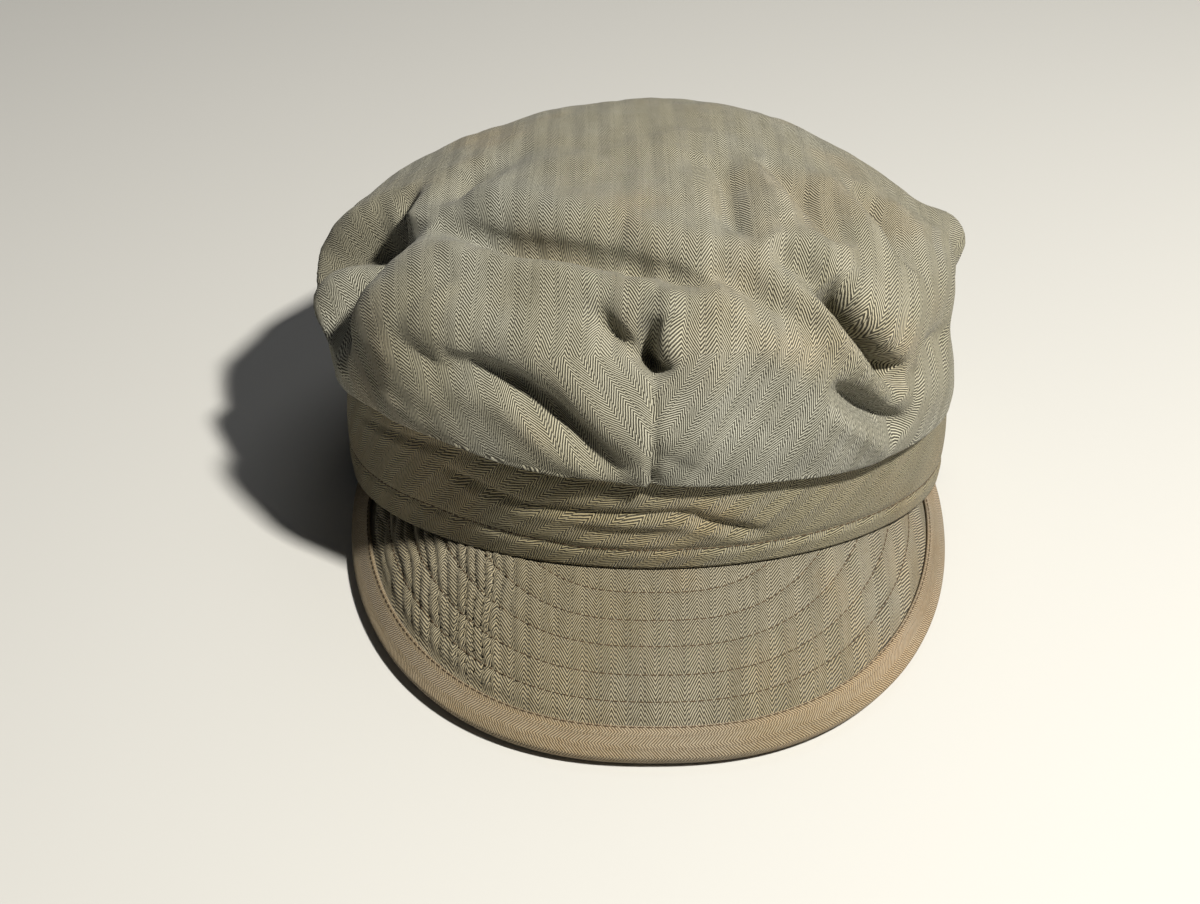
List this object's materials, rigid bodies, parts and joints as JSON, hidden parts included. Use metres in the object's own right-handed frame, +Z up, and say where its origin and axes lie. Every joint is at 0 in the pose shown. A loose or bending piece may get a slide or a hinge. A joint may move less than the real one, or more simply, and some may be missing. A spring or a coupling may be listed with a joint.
{
  "type": "field cap",
  "caption": "Soft herringbone cloth field cap with a full crown, a sewn band and a short stitched peak with a tape edge.",
  "frame": {"origin": "centre of the underside of the cap's box, on the surface that it rests on", "axes": "+Z up, -Y towards the peak and the wearer's front, +X towards the side at the right of the front view"},
  "size_m": [0.1887, 0.2408, 0.1078],
  "materials": {
    "cloth": "faded olive cotton herringbone twill",
    "band_cloth": "olive cotton herringbone twill cut on the bias",
    "peak_cloth": "olive cotton herringbone twill, quilted in rows",
    "tape": "khaki herringbone cotton tape"
  },
  "bodies": {
    "root": {"crown": "cloth", "band": "band_cloth", "peak": "peak_cloth", "peak_binding": "tape"}
  },
  "joints": []
}
